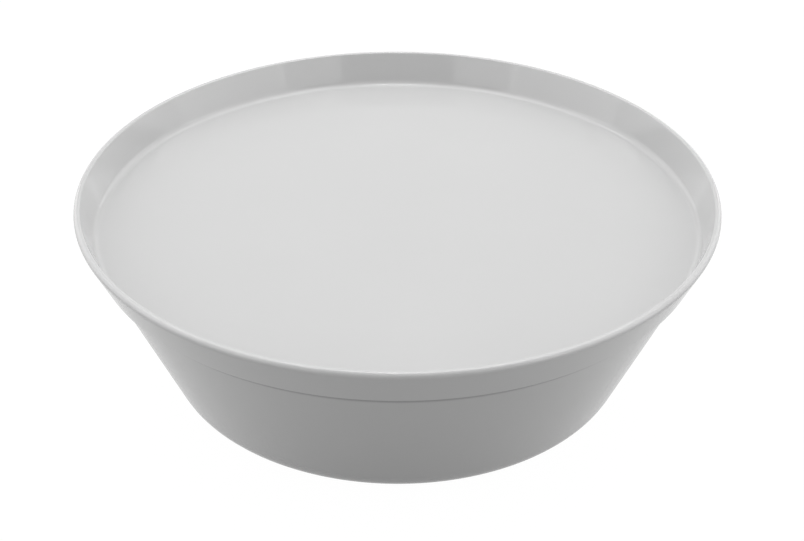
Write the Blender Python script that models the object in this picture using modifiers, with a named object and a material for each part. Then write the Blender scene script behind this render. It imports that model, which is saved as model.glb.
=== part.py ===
"""Lazy susan turntable: a round tray that turns on a ring of balls inside a flared bowl base.

Frame: metres, +Z up, origin on the spin axis at the surface that the feet stand on.
"""

from math import atan2, cos, pi, radians, sin, tan

import bmesh
import bpy
from mathutils import Matrix, Vector

MM = 0.001

# Overall size
RIM_RADIUS = 165 * MM
RIM_Z = 104.7 * MM
GAP = 0.3 * MM

# Tray: floor, flared band and rounded lip
BAND_SLOPE = radians(26.7)
BAND_HEIGHT = 21 * MM
BAND_FOOT_WIDTH = 3.1 * MM
TRAY_DEPTH = 17.2 * MM
TRAY_FLOOR = 3 * MM
TRAY_FLOOR_RADIUS = 155.2 * MM
LIP_WIDTH = 3.1 * MM
LIP_OUTER_FILLET = 2.2 * MM
LIP_INNER_FILLET = 0.9 * MM
TRAY_CORNER_FILLET = 4.2 * MM
BAND_EDGE_FILLET = 0.6 * MM
LOCATING_RIB_RADIUS = 146.5 * MM
LOCATING_RIB_WIDTH = 2 * MM
LOCATING_RIB_HEIGHT = 4.5 * MM
STIFFENING_RIBS = 8
RIB_START = radians(11.25)
STIFFENING_RIB_WIDTH = 1.8 * MM
STIFFENING_RIB_HEIGHT = 2.2 * MM

# Bowl base
FOOT_STAND = 1.6 * MM
SEAM_GAP = 1 * MM
BOWL_TOP_RADIUS = 152.9 * MM
BOWL_BOTTOM_RADIUS = 115.2 * MM
BOWL_WALL = 3 * MM
BOWL_BOTTOM_FILLET = 17 * MM
BOWL_EDGE_FILLET = 0.8 * MM

# Ball bearing between tray and base
BALLS = 16
BALL_RADIUS = 4 * MM
BALL_CIRCLE = 75 * MM
GROOVE_RADIUS = 4.5 * MM
SHEET = 1 * MM
RACE_INNER_RADIUS = 60 * MM
RACE_OUTER_RADIUS = 90 * MM
FLANGE_SPACE = 3.2 * MM
LAND_HEIGHT = 3.4 * MM
LAND_WIDTH = 7 * MM
CAGE_WIDTH = 11 * MM
CAGE_THICKNESS = 2 * MM
RACE_SCREWS = 4
UPPER_SCREW_CIRCLE = 85.5 * MM
LOWER_SCREW_CIRCLE = 64.5 * MM

# Deck that carries the bearing high in the bowl
DECK_THICKNESS = 3 * MM
DECK_RADIUS = 108 * MM
DECK_SKIRT_DEPTH = 11 * MM
DECK_SKIRT_WIDTH = 2.5 * MM
CHANNEL_DEPTH = 3.1 * MM
CHANNEL_WIDTH = 13 * MM
LEGS = 6
LEG_CIRCLE = 95 * MM
LEG_TOP_RADIUS = 8 * MM
LEG_FOOT_RADIUS = 6.5 * MM
LEG_PILOT_DEPTH = 20 * MM
SOCKET_RADIUS = 7 * MM
SOCKET_DEPTH = 3 * MM
SOCKET_WALL = 2.5 * MM
BOSS_HEIGHT = 4 * MM
VENT_CIRCLE = 39 * MM
VENT_RADIUS = 9 * MM
SCREW_PAD_RADIUS = 4.2 * MM
SCREW_PAD_DEPTH = 7 * MM
DECK_RIB_WIDTH = 2 * MM
DECK_RIB_DEPTH = 6 * MM

# Centre pivot
PIVOT_RADIUS = 10 * MM
PIVOT_LENGTH = 17.9 * MM
BUSH_WALL = 2.2 * MM
BUSH_FLANGE_RADIUS = 16 * MM
BUSH_FLANGE = 1.5 * MM
HUB_WALL = 3.5 * MM
HUB_DEPTH = 8.1 * MM
WASHER_RADIUS = 15 * MM
WASHER_THICKNESS = 1.5 * MM

# Fasteners: shank radius, shank length, head radius, head height
RACE_SCREW = (1.5 * MM, 5.1 * MM, 2.75 * MM, 1.8 * MM)
LOWER_SCREW = (1.5 * MM, 6.6 * MM, 2.75 * MM, 1.8 * MM)
PIVOT_SCREW = (2.5 * MM, 17.4 * MM, 5 * MM, 3.2 * MM)
DECK_SCREW = (2 * MM, 20 * MM, 4 * MM, 2.5 * MM)

# Rubber feet
FOOT_RADIUS = 10 * MM
FOOT_THICKNESS = 2.2 * MM
FOOT_CHAMFER = 0.5 * MM

# Facets
LARGE_STEPS = 48
RING_STEPS = 32
SMALL_STEPS = 10
BALL_BANDS = 6
GROOVE_STEPS = 4
ARC_STEP = radians(24)
OVERLAP = 1 * MM

# Heights worked out from the sizes above
TRAY_FLOOR_Z = RIM_Z - TRAY_DEPTH
UNDERSIDE_Z = TRAY_FLOOR_Z - TRAY_FLOOR
BAND_BOTTOM_Z = RIM_Z - BAND_HEIGHT
BOWL_TOP_Z = BAND_BOTTOM_Z - SEAM_GAP
BOWL_FLOOR_Z = FOOT_STAND + BOWL_WALL
UPPER_FLANGE_Z = UNDERSIDE_Z - LAND_HEIGHT - GAP - SHEET
BALL_Z = UPPER_FLANGE_Z - FLANGE_SPACE / 2
LOWER_FLANGE_Z = BALL_Z - FLANGE_SPACE / 2
DECK_Z = LOWER_FLANGE_Z - SHEET - GAP
PIVOT_END_Z = UNDERSIDE_Z - PIVOT_LENGTH
SOCKET_Z = BOWL_FLOOR_Z + BOSS_HEIGHT
LEG_FOOT_Z = SOCKET_Z + GAP
FOOT_POCKET_Z = FOOT_THICKNESS + GAP

# The outermost point of the rounded lip lies on RIM_RADIUS, inside the corner that it rounds.
LIP_CORNER_RADIUS = RIM_RADIUS - LIP_OUTER_FILLET + LIP_OUTER_FILLET / tan((pi / 2 - BAND_SLOPE) / 2)
BAND_BOTTOM_RADIUS = LIP_CORNER_RADIUS - BAND_HEIGHT * tan(BAND_SLOPE)
BOWL_SLOPE = atan2(BOWL_TOP_RADIUS - BOWL_BOTTOM_RADIUS, BOWL_TOP_Z - FOOT_STAND)


def clear_scene():
    for old in list(bpy.data.objects):
        bpy.data.objects.remove(old, do_unlink=True)


def new_collection(name, hidden):
    collection = bpy.data.collections.new(name)
    collection.hide_render = hidden
    bpy.context.scene.collection.children.link(collection)
    return collection


def new_material(name, colour, roughness, metallic=0.0):
    material = bpy.data.materials.new(name)
    material.use_nodes = True
    shader = material.node_tree.nodes["Principled BSDF"]
    shader.inputs["Base Color"].default_value = (*colour, 1)
    shader.inputs["Roughness"].default_value = roughness
    shader.inputs["Metallic"].default_value = metallic
    return material


def corner_arc(before, corner, after, radius):
    """Points of the arc that rounds a corner between two straight sides."""
    into = (before - corner).normalized()
    out = (after - corner).normalized()
    half_angle = into.angle(out) / 2
    centre = corner + (into + out).normalized() * radius / sin(half_angle)
    first = corner + into * radius / tan(half_angle) - centre
    last = corner + out * radius / tan(half_angle) - centre
    start = atan2(first.y, first.x)
    turn = (atan2(last.y, last.x) - start + pi) % (2 * pi) - pi
    steps = max(1, round(abs(turn) / ARC_STEP))
    angles = [start + turn * step / steps for step in range(steps + 1)]
    return [centre + radius * Vector((cos(angle), sin(angle))) for angle in angles]


def rounded(corners):
    """An outline of (radius, height) or (radius, height, fillet) corners, with the fillets drawn in."""
    points = []
    for index, (x, z, *fillet) in enumerate(corners):
        here = Vector((x, z))
        if not fillet:
            points.append(here)
            continue
        before = Vector(corners[index - 1][:2])
        after = Vector(corners[(index + 1) % len(corners)][:2])
        points.extend(corner_arc(before, here, after, fillet[0]))
    return points


def place(item, location, angle):
    item.location = location
    item.rotation_euler.z = angle


def add_object(name, mesh, material, collection):
    item = bpy.data.objects.new(name, mesh)
    collection.objects.link(item)
    if material:
        mesh.materials.clear()
        mesh.materials.append(material)
    return item


def profile_mesh(name, points, closed):
    """A profile in the XZ plane. It runs down its outer side, so that the turned faces point out."""
    shape = bmesh.new()
    ring = [shape.verts.new((point.x, 0, point.y)) for point in points]
    for first, second in zip(ring, ring[1:]):
        shape.edges.new((first, second))
    if closed:
        shape.edges.new((ring[-1], ring[0]))
    mesh = bpy.data.meshes.new(name)
    shape.to_mesh(mesh)
    shape.free()
    return mesh


def add_screw(item, steps):
    turn = item.modifiers.new("turn", "SCREW")
    turn.axis = "Z"
    turn.angle = 2 * pi
    turn.steps = steps
    turn.render_steps = steps
    turn.use_merge_vertices = True
    turn.merge_threshold = 0.01 * MM
    turn.use_smooth_shade = True


def turned(name, points, steps, material, collection):
    """A turned piece. A profile that starts on the axis is left open there, and any other is a closed loop."""
    on_axis = points[0].x == 0
    item = add_object(name, profile_mesh(name, points, not on_axis), material, collection)
    add_screw(item, steps)
    return item


def around(count, circle, height, start=0.0):
    """(location, angle) of places spaced evenly on a circle."""
    places = []
    for index in range(count):
        angle = start + 2 * pi * index / count
        places.append((Vector((circle * cos(angle), circle * sin(angle), height)), angle))
    return places


def spokes(count, start=0.0):
    """Places on the axis itself, for a shape that reaches outwards from it."""
    return around(count, 0, 0, start)


def repeated(name, source, places):
    """One helper mesh that holds a copy of the source shape at each place."""
    graph = bpy.context.evaluated_depsgraph_get()
    graph.update()
    single = bpy.data.meshes.new_from_object(source.evaluated_get(graph))
    shape = bmesh.new()
    for location, angle in places:
        copy = single.copy()
        copy.transform(Matrix.Translation(location) @ Matrix.Rotation(angle, 4, "Z"))
        shape.from_mesh(copy)
    mesh = bpy.data.meshes.new(name)
    shape.to_mesh(mesh)
    shape.free()
    bpy.data.objects.remove(source)
    item = add_object(name, mesh, None, cutters)
    item.hide_render = True
    item.display_type = "WIRE"
    return item


def cylinder(radius, low, high):
    """A helper cylinder that stands on the axis between two heights."""
    mesh = bpy.data.meshes.new("helper_cylinder")
    shape = bmesh.new()
    bmesh.ops.create_cone(
        shape,
        cap_ends=True,
        segments=SMALL_STEPS,
        radius1=radius,
        radius2=radius,
        depth=high - low,
        matrix=Matrix.Translation((0, 0, (low + high) / 2)),
    )
    shape.to_mesh(mesh)
    shape.free()
    return add_object("helper_cylinder", mesh, None, cutters)


def radial_bar(inner, outer, width, low, high):
    """A helper bar that runs outwards along +X."""
    mesh = bpy.data.meshes.new("helper_bar")
    shape = bmesh.new()
    size = Matrix.Diagonal((outer - inner, width, high - low, 1))
    middle = Matrix.Translation(((inner + outer) / 2, 0, (low + high) / 2))
    bmesh.ops.create_cube(shape, size=1, matrix=middle @ size)
    shape.to_mesh(mesh)
    shape.free()
    return add_object("helper_bar", mesh, None, cutters)


def combine(item, helper, operation):
    boolean = item.modifiers.new(helper.name, "BOOLEAN")
    boolean.operation = operation
    boolean.solver = "EXACT"
    boolean.object = helper


def make_tray(material):
    rib_bottom = UNDERSIDE_Z - LOCATING_RIB_HEIGHT
    rib_inner = LOCATING_RIB_RADIUS - LOCATING_RIB_WIDTH
    band_foot_inner = BAND_BOTTOM_RADIUS - BAND_FOOT_WIDTH
    land_z = UNDERSIDE_Z - LAND_HEIGHT
    corners = [
        (0, TRAY_FLOOR_Z),
        (TRAY_FLOOR_RADIUS, TRAY_FLOOR_Z, TRAY_CORNER_FILLET),
        (RIM_RADIUS - LIP_WIDTH, RIM_Z, LIP_INNER_FILLET),
        (LIP_CORNER_RADIUS, RIM_Z, LIP_OUTER_FILLET),
        (BAND_BOTTOM_RADIUS, BAND_BOTTOM_Z, BAND_EDGE_FILLET),
        (band_foot_inner, BAND_BOTTOM_Z),
        (band_foot_inner, UNDERSIDE_Z),
        (LOCATING_RIB_RADIUS, UNDERSIDE_Z),
        (LOCATING_RIB_RADIUS, rib_bottom),
        (rib_inner, rib_bottom),
        (rib_inner, UNDERSIDE_Z),
        (RACE_OUTER_RADIUS, UNDERSIDE_Z),
        (RACE_OUTER_RADIUS, land_z),
        (RACE_OUTER_RADIUS - LAND_WIDTH, land_z),
        (RACE_OUTER_RADIUS - LAND_WIDTH, UNDERSIDE_Z),
        (RACE_INNER_RADIUS + LAND_WIDTH, UNDERSIDE_Z),
        (RACE_INNER_RADIUS + LAND_WIDTH, land_z),
        (RACE_INNER_RADIUS, land_z),
        (RACE_INNER_RADIUS, UNDERSIDE_Z),
        (PIVOT_RADIUS, UNDERSIDE_Z),
        (PIVOT_RADIUS, PIVOT_END_Z),
        (PIVOT_SCREW[0] + GAP, PIVOT_END_Z),
        (PIVOT_SCREW[0] + GAP, PIVOT_END_Z + PIVOT_SCREW[1]),
        (0, PIVOT_END_Z + PIVOT_SCREW[1]),
    ]
    tray = turned("tray", rounded(corners), LARGE_STEPS, material, parts)
    rib = radial_bar(
        RACE_OUTER_RADIUS - OVERLAP,
        rib_inner + OVERLAP / 2,
        STIFFENING_RIB_WIDTH,
        UNDERSIDE_Z - STIFFENING_RIB_HEIGHT,
        UNDERSIDE_Z + OVERLAP,
    )
    rib_places = spokes(STIFFENING_RIBS, RIB_START)
    combine(tray, repeated("tray_ribs", rib, rib_places), "UNION")
    pilot = cylinder(RACE_SCREW[0] + GAP, -OVERLAP, RACE_SCREW[1] - SHEET)
    holes = around(RACE_SCREWS, UPPER_SCREW_CIRCLE, land_z - GAP, pi / RACE_SCREWS)
    combine(tray, repeated("tray_pilot_holes", pilot, holes), "DIFFERENCE")
    return tray


def make_bowl(material):
    wall = BOWL_WALL / cos(BOWL_SLOPE)
    floor_radius = BOWL_BOTTOM_RADIUS + BOWL_WALL * tan(BOWL_SLOPE) - wall
    corners = [
        (0, BOWL_FLOOR_Z),
        (floor_radius, BOWL_FLOOR_Z, BOWL_BOTTOM_FILLET - BOWL_WALL),
        (BOWL_TOP_RADIUS - wall, BOWL_TOP_Z, BOWL_EDGE_FILLET),
        (BOWL_TOP_RADIUS, BOWL_TOP_Z, BOWL_EDGE_FILLET),
        (BOWL_BOTTOM_RADIUS, FOOT_STAND, BOWL_BOTTOM_FILLET),
        (0, FOOT_STAND),
    ]
    bowl = turned("base_bowl", rounded(corners), LARGE_STEPS, material, parts)
    places = around(LEGS, LEG_CIRCLE, 0)
    boss = cylinder(SOCKET_RADIUS + SOCKET_WALL, FOOT_STAND + OVERLAP, SOCKET_Z + SOCKET_DEPTH)
    combine(bowl, repeated("bowl_bosses", boss, places), "UNION")
    screw_radius, _, head_radius, head_height = DECK_SCREW
    head_seat_z = FOOT_POCKET_Z + head_height + 2 * GAP
    hole = [
        (0, SOCKET_Z + SOCKET_DEPTH + OVERLAP),
        (SOCKET_RADIUS, SOCKET_Z + SOCKET_DEPTH + OVERLAP),
        (SOCKET_RADIUS, SOCKET_Z),
        (screw_radius + GAP, SOCKET_Z),
        (screw_radius + GAP, head_seat_z),
        (head_radius + GAP, head_seat_z),
        (head_radius + GAP, FOOT_POCKET_Z),
        (FOOT_RADIUS + GAP, FOOT_POCKET_Z),
        (FOOT_RADIUS + GAP, FOOT_STAND - OVERLAP),
        (0, FOOT_STAND - OVERLAP),
    ]
    stepped_hole = turned("helper_hole", rounded(hole), SMALL_STEPS, None, cutters)
    combine(bowl, repeated("bowl_leg_holes", stepped_hole, places), "DIFFERENCE")
    return bowl


def make_deck(material):
    underside = DECK_Z - DECK_THICKNESS
    hub_bore = PIVOT_RADIUS + GAP + BUSH_WALL + GAP
    channel_inner = BALL_CIRCLE - CHANNEL_WIDTH / 2
    channel_outer = BALL_CIRCLE + CHANNEL_WIDTH / 2
    skirt_z = DECK_Z - DECK_SKIRT_DEPTH
    corners = [
        (hub_bore, DECK_Z),
        (channel_inner, DECK_Z),
        (channel_inner, DECK_Z - CHANNEL_DEPTH),
        (channel_outer, DECK_Z - CHANNEL_DEPTH),
        (channel_outer, DECK_Z),
        (DECK_RADIUS, DECK_Z, DECK_SKIRT_WIDTH),
        (DECK_RADIUS, skirt_z),
        (DECK_RADIUS - DECK_SKIRT_WIDTH, skirt_z),
        (DECK_RADIUS - DECK_SKIRT_WIDTH, underside),
        (channel_outer + DECK_THICKNESS, underside),
        (channel_outer + DECK_THICKNESS, underside - CHANNEL_DEPTH),
        (channel_inner - DECK_THICKNESS, underside - CHANNEL_DEPTH),
        (channel_inner - DECK_THICKNESS, underside),
        (hub_bore + HUB_WALL, underside),
        (hub_bore + HUB_WALL, DECK_Z - HUB_DEPTH),
        (hub_bore, DECK_Z - HUB_DEPTH),
    ]
    deck = turned("support_deck", rounded(corners), RING_STEPS, material, parts)
    legs = around(LEGS, LEG_CIRCLE, 0)
    leg = turned(
        "helper_leg",
        rounded(
            [
                (0, underside + OVERLAP),
                (LEG_TOP_RADIUS, underside + OVERLAP),
                (LEG_FOOT_RADIUS, LEG_FOOT_Z),
                (DECK_SCREW[0] + GAP, LEG_FOOT_Z),
                (DECK_SCREW[0] + GAP, LEG_FOOT_Z + LEG_PILOT_DEPTH),
                (0, LEG_FOOT_Z + LEG_PILOT_DEPTH),
            ]
        ),
        SMALL_STEPS,
        None,
        cutters,
    )
    combine(deck, repeated("deck_legs", leg, legs), "UNION")
    bar = radial_bar(
        hub_bore + HUB_WALL - OVERLAP,
        channel_inner - DECK_THICKNESS + OVERLAP,
        DECK_RIB_WIDTH,
        DECK_Z - DECK_RIB_DEPTH,
        underside + OVERLAP,
    )
    combine(deck, repeated("deck_ribs", bar, spokes(LEGS)), "UNION")
    pads = around(RACE_SCREWS, LOWER_SCREW_CIRCLE, 0)
    pad = cylinder(SCREW_PAD_RADIUS, DECK_Z - SCREW_PAD_DEPTH, underside + OVERLAP)
    combine(deck, repeated("deck_screw_pads", pad, pads), "UNION")
    pilot = cylinder(LOWER_SCREW[0] + GAP, DECK_Z - SCREW_PAD_DEPTH + OVERLAP, DECK_Z + OVERLAP)
    combine(deck, repeated("deck_pilot_holes", pilot, pads), "DIFFERENCE")
    vent = cylinder(VENT_RADIUS, underside - OVERLAP, DECK_Z + OVERLAP)
    vents = around(LEGS, VENT_CIRCLE, 0, pi / LEGS)
    combine(deck, repeated("deck_vents", vent, vents), "DIFFERENCE")
    return deck


def groove(radius, flange_offset, start_side):
    """Arc of a race's groove, from the flange on one side of the ball circle to the flange on the other."""
    reach = atan2(flange_offset, (radius**2 - flange_offset**2) ** 0.5)
    span = pi - 2 * reach
    points = []
    for step in range(GROOVE_STEPS + 1):
        angle = -pi / 2 + start_side * (span / 2 - span * step / GROOVE_STEPS)
        points.append((BALL_CIRCLE + radius * cos(angle), radius * sin(angle)))
    return points


def make_race(name, facing, screw_circle, screw_start, material):
    """A pressed steel ring. facing is 1 for the lower race, whose groove opens upwards, and -1 for the upper."""
    near = -FLANGE_SPACE / 2
    far = near - SHEET
    outline = [(RACE_OUTER_RADIUS, near), (RACE_OUTER_RADIUS, far)]
    outline += groove(GROOVE_RADIUS + SHEET, -far, 1)
    outline += [(RACE_INNER_RADIUS, far), (RACE_INNER_RADIUS, near)]
    outline += groove(GROOVE_RADIUS, -near, -1)
    points = [Vector((x, BALL_Z + facing * z)) for x, z in outline]
    if facing < 0:
        points.reverse()
    race = turned(name, points, RING_STEPS, material, parts)
    hole = cylinder(RACE_SCREW[0] + GAP, BALL_Z - 2 * BALL_RADIUS, BALL_Z + 2 * BALL_RADIUS)
    holes = around(RACE_SCREWS, screw_circle, 0, screw_start)
    combine(race, repeated(name + "_holes", hole, holes), "DIFFERENCE")
    return race


def make_cage(material):
    inner = BALL_CIRCLE - CAGE_WIDTH / 2
    outer = BALL_CIRCLE + CAGE_WIDTH / 2
    low = BALL_Z - CAGE_THICKNESS / 2
    high = BALL_Z + CAGE_THICKNESS / 2
    corners = [(outer, high), (outer, low), (inner, low), (inner, high)]
    cage = turned("ball_cage", rounded(corners), RING_STEPS, material, parts)
    pocket = cylinder(BALL_RADIUS + GAP, -2 * CAGE_THICKNESS, 2 * CAGE_THICKNESS)
    combine(cage, repeated("cage_pockets", pocket, around(BALLS, BALL_CIRCLE, BALL_Z)), "DIFFERENCE")
    return cage


def make_balls(material):
    mesh = bpy.data.meshes.new("ball")
    shape = bmesh.new()
    bmesh.ops.create_uvsphere(shape, u_segments=SMALL_STEPS, v_segments=BALL_BANDS, radius=BALL_RADIUS)
    shape.to_mesh(mesh)
    shape.free()
    mesh.shade_smooth()
    balls = []
    for index, (location, angle) in enumerate(around(BALLS, BALL_CIRCLE, BALL_Z)):
        ball = add_object(f"ball_{index + 1:02d}", mesh, material, parts)
        place(ball, location, angle)
        balls.append(ball)
    return balls


def make_bush(material):
    bore = PIVOT_RADIUS + GAP
    tube = bore + BUSH_WALL
    corners = [
        (BUSH_FLANGE_RADIUS, DECK_Z + GAP + BUSH_FLANGE),
        (BUSH_FLANGE_RADIUS, DECK_Z + GAP),
        (tube, DECK_Z + GAP),
        (tube, DECK_Z - HUB_DEPTH - GAP),
        (bore, DECK_Z - HUB_DEPTH - GAP),
        (bore, DECK_Z + GAP + BUSH_FLANGE),
    ]
    return turned("pivot_bush", rounded(corners), RING_STEPS, material, parts)


def make_pivot_washer(material):
    high = PIVOT_END_Z - GAP
    low = high - WASHER_THICKNESS
    bore = PIVOT_SCREW[0] + GAP
    corners = [(WASHER_RADIUS, high), (WASHER_RADIUS, low), (bore, low), (bore, high)]
    return turned("pivot_washer", rounded(corners), RING_STEPS, material, parts)


def make_screw(name, size, location, angle, points_up, material):
    """A pan-head screw. Its origin is under the head, and its shank points up or down from there."""
    shank_radius, length, head_radius, head_height = size
    tip = shank_radius / 2
    recess = head_radius / 2
    corners = [
        (0, length),
        (tip, length),
        (shank_radius, length - tip),
        (shank_radius, 0),
        (head_radius, 0),
        (head_radius, -head_height / 2),
        (head_radius - head_height / 3, -head_height),
        (recess, -head_height),
        (0, -head_height / 3),
    ]
    screw = turned(name, rounded(corners), SMALL_STEPS, material, parts)
    place(screw, location, angle)
    if not points_up:
        screw.rotation_euler.x = pi
    return screw


def make_screws(base_name, size, places, points_up, material):
    screws = []
    for index, (location, angle) in enumerate(places):
        name = f"{base_name}_{index + 1}"
        screws.append(make_screw(name, size, location, angle, points_up, material))
    return screws


def make_feet(material):
    corners = [
        (0, FOOT_THICKNESS),
        (FOOT_RADIUS, FOOT_THICKNESS),
        (FOOT_RADIUS, FOOT_CHAMFER),
        (FOOT_RADIUS - FOOT_CHAMFER, 0),
        (0, 0),
    ]
    for index, (location, angle) in enumerate(around(LEGS, LEG_CIRCLE, 0)):
        foot = turned(f"foot_{index + 1}", rounded(corners), SMALL_STEPS, material, parts)
        place(foot, location, angle)


def add_axis(name, pieces):
    """An empty on the spin axis, which carries the pieces that turn together."""
    axis = bpy.data.objects.new(name, None)
    parts.objects.link(axis)
    for piece in pieces:
        piece.parent = axis


clear_scene()
parts = new_collection("lazy_susan_turntable", hidden=False)
cutters = new_collection("cutters", hidden=True)

tray_plastic = new_material("tray_plastic", (0.62, 0.62, 0.62), 0.22)
bowl_plastic = new_material("bowl_plastic", (0.60, 0.60, 0.60), 0.3)
deck_plastic = new_material("deck_plastic", (0.55, 0.55, 0.55), 0.5)
cage_plastic = new_material("cage_plastic", (0.72, 0.70, 0.64), 0.5)
zinc_steel = new_material("zinc_steel", (0.62, 0.63, 0.65), 0.35, metallic=1.0)
ball_steel = new_material("ball_steel", (0.75, 0.75, 0.77), 0.12, metallic=1.0)
foot_rubber = new_material("foot_rubber", (0.06, 0.06, 0.06), 0.8)

make_bowl(bowl_plastic)
make_deck(deck_plastic)
make_bush(cage_plastic)
make_race("lower_race", 1, LOWER_SCREW_CIRCLE, 0.0, zinc_steel)
lower_places = around(RACE_SCREWS, LOWER_SCREW_CIRCLE, LOWER_FLANGE_Z + GAP)
make_screws("lower_race_screw", LOWER_SCREW, lower_places, False, zinc_steel)
deck_places = around(LEGS, LEG_CIRCLE, FOOT_POCKET_Z + DECK_SCREW[3] + GAP)
make_screws("deck_screw", DECK_SCREW, deck_places, True, zinc_steel)
make_feet(foot_rubber)

upper_places = around(RACE_SCREWS, UPPER_SCREW_CIRCLE, UPPER_FLANGE_Z - GAP, pi / RACE_SCREWS)
pivot_head = Vector((0, 0, PIVOT_END_Z - WASHER_THICKNESS - 2 * GAP))
turning = [
    make_tray(tray_plastic),
    make_race("upper_race", -1, UPPER_SCREW_CIRCLE, pi / RACE_SCREWS, zinc_steel),
    make_pivot_washer(zinc_steel),
    make_screw("pivot_screw", PIVOT_SCREW, pivot_head, 0.0, True, zinc_steel),
]
turning += make_screws("upper_race_screw", RACE_SCREW, upper_places, True, zinc_steel)
add_axis("tray_spin_axis", turning)
add_axis("cage_spin_axis", [make_cage(cage_plastic)] + make_balls(ball_steel))
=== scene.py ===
"""Looks of the lazy susan turntable: finer pieces, moulded and turned materials, camera and studio.

Every length is in metres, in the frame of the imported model: +Z up, origin on the spin axis at the floor.
"""

from math import atan2, cos, pi, radians, sin, tan

import bmesh
import bpy
from mathutils import Matrix, Quaternion, Vector


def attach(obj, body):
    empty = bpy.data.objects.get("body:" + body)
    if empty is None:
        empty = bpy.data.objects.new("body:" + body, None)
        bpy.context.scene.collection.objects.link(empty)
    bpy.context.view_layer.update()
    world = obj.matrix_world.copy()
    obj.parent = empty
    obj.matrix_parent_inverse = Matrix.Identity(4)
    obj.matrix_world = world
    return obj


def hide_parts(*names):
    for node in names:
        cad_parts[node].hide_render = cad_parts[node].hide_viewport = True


MM = 0.001

# Camera
CAMERA_DISTANCE = 1155 * MM
CAMERA_ELEVATION = radians(31.75)
CAMERA_AIM_HEIGHT = 57.6 * MM
CAMERA_ROLL = radians(0.18)
CAMERA_LENS = 98.77
CAMERA_SHIFT = 0.0058

# Studio: each light's azimuth, elevation, width, height, distance and brightness. Azimuth 0 is the camera's
# side and 90 is to its right, and a light off that line has a twin on the left.
SOFTBOXES = {
    "front_wing": (34, 12, 0.82, 0.65, 2.0, 1.25),
    "side_softbox": (68, 19, 1.66, 1.35, 2.0, 1.8),
    "side_high_softbox": (68, 47, 1.3, 0.7, 2.0, 0.6),
    "rear_softbox": (119, 28, 2.3, 2.1, 2.0, 1.25),
    "back_low_softbox": (165, 10, 1.4, 0.6, 2.0, 0.7),
    "back_softbox": (180, 34, 1.1, 1.2, 2.0, 0.5),
    "overhead_back_softbox": (180, 66, 2.2, 0.8, 2.0, 2.6),
    "overhead_side_softbox": (90, 66, 1.0, 0.8, 2.0, 2.1),
    "overhead_softbox": (180, 89, 1.2, 1.0, 2.0, 1.7),
    "overhead_spot": (180, 83, 0.3, 0.12, 2.0, 14.0),
    "table_strip": (90, 0, 0.8, 0.1, 0.9, 1.0),
}
SURROUNDINGS_BRIGHTNESS = 0.24
FLOOR_RADIUS = 8.0
FLOOR_TONE = 0.2
FLOOR_GLOW = 0.16
FLOOR_SHINE = 0.65
FLOOR_WHITE_SHARE = 0.9
FLOOR_WHITE = 1.08

# Overall size
RIM_RADIUS = 165 * MM
RIM_Z = 104.7 * MM
GAP = 0.3 * MM

# Tray: floor, flared band and rounded lip
BAND_SLOPE = radians(26.7)
BAND_HEIGHT = 21 * MM
BAND_FOOT_WIDTH = 3.1 * MM
TRAY_DEPTH = 17.2 * MM
TRAY_FLOOR = 3 * MM
TRAY_FLOOR_RADIUS = 155.2 * MM
LIP_WIDTH = 3.1 * MM
LIP_OUTER_FILLET = 2.2 * MM
LIP_INNER_FILLET = 0.9 * MM
TRAY_CORNER_FILLET = 4.2 * MM
BAND_EDGE_FILLET = 0.6 * MM
LOCATING_RIB_RADIUS = 146.5 * MM
LOCATING_RIB_WIDTH = 2 * MM
LOCATING_RIB_HEIGHT = 4.5 * MM
STIFFENING_RIBS = 8
RIB_START = radians(11.25)
STIFFENING_RIB_WIDTH = 1.8 * MM
STIFFENING_RIB_HEIGHT = 2.2 * MM

# Bowl base
FOOT_STAND = 1.6 * MM
SEAM_GAP = 1 * MM
BOWL_TOP_RADIUS = 152.9 * MM
BOWL_BOTTOM_RADIUS = 115.2 * MM
BOWL_WALL = 3 * MM
BOWL_BOTTOM_FILLET = 17 * MM
BOWL_EDGE_FILLET = 0.8 * MM

# Ball bearing between tray and base
BALLS = 16
BALL_RADIUS = 4 * MM
BALL_CIRCLE = 75 * MM
GROOVE_RADIUS = 4.5 * MM
SHEET = 1 * MM
RACE_INNER_RADIUS = 60 * MM
RACE_OUTER_RADIUS = 90 * MM
FLANGE_SPACE = 3.2 * MM
LAND_HEIGHT = 3.4 * MM
LAND_WIDTH = 7 * MM
CAGE_WIDTH = 11 * MM
CAGE_THICKNESS = 2 * MM
RACE_SCREWS = 4
UPPER_SCREW_CIRCLE = 85.5 * MM
LOWER_SCREW_CIRCLE = 64.5 * MM

# Deck that carries the bearing high in the bowl
DECK_THICKNESS = 3 * MM
DECK_RADIUS = 108 * MM
DECK_SKIRT_DEPTH = 11 * MM
DECK_SKIRT_WIDTH = 2.5 * MM
CHANNEL_DEPTH = 3.1 * MM
CHANNEL_WIDTH = 13 * MM
LEGS = 6
LEG_CIRCLE = 95 * MM
LEG_TOP_RADIUS = 8 * MM
LEG_FOOT_RADIUS = 6.5 * MM
LEG_PILOT_DEPTH = 20 * MM
SOCKET_RADIUS = 7 * MM
SOCKET_DEPTH = 3 * MM
SOCKET_WALL = 2.5 * MM
BOSS_HEIGHT = 4 * MM
VENT_CIRCLE = 39 * MM
VENT_RADIUS = 9 * MM
SCREW_PAD_RADIUS = 4.2 * MM
SCREW_PAD_DEPTH = 7 * MM
DECK_RIB_WIDTH = 2 * MM
DECK_RIB_DEPTH = 6 * MM

# Centre pivot
PIVOT_RADIUS = 10 * MM
PIVOT_LENGTH = 17.9 * MM
BUSH_WALL = 2.2 * MM
BUSH_FLANGE_RADIUS = 16 * MM
BUSH_FLANGE = 1.5 * MM
HUB_WALL = 3.5 * MM
HUB_DEPTH = 8.1 * MM
WASHER_RADIUS = 15 * MM
WASHER_THICKNESS = 1.5 * MM

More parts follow.
